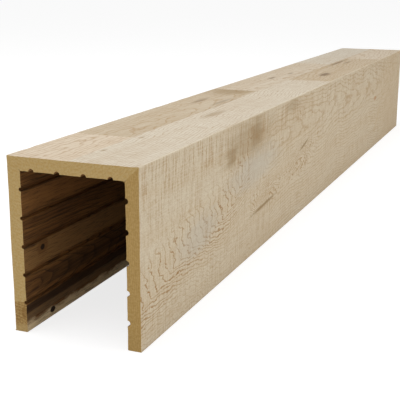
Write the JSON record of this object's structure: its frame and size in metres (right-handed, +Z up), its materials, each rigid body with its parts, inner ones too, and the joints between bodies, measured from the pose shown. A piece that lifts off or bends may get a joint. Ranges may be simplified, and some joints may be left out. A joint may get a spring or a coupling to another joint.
{
  "type": "box beam",
  "caption": "Hollow three-sided oak box beam, mitred from dressed boards, open along one side and at both ends, with saw-marked faces and grooved backs.",
  "frame": {"origin": "on the floor under the middle of the beam, which lies open side down", "axes": "+X across the beam, +Y along it from the near end to the far end, +Z up from the open edges to the top board"},
  "size_m": [0.1842, 1.8288, 0.235],
  "materials": {
    "oak_side": "dry, unfinished saw-marked oak",
    "oak_edge_strip": "dry, unfinished oak with a sapwood edge",
    "oak_pale": "dry, unfinished saw-marked oak, pale",
    "oak_mid": "dry, unfinished saw-marked oak, medium",
    "oak_brown": "dry, unfinished saw-marked oak, brown heartwood",
    "oak_tan": "dry, unfinished saw-marked oak, tan with knots"
  },
  "bodies": {
    "root": {"left_side_board": "oak_side", "left_side_edge_strip": "oak_edge_strip", "right_side_board": "oak_side", "top_left_stave_1": "oak_pale", "top_left_stave_2": "oak_brown", "top_left_stave_3": "oak_mid", "top_left_stave_4": "oak_pale", "top_right_stave_1": "oak_mid", "top_right_stave_2": "oak_tan", "top_right_stave_3": "oak_pale"}
  },
  "joints": []
}
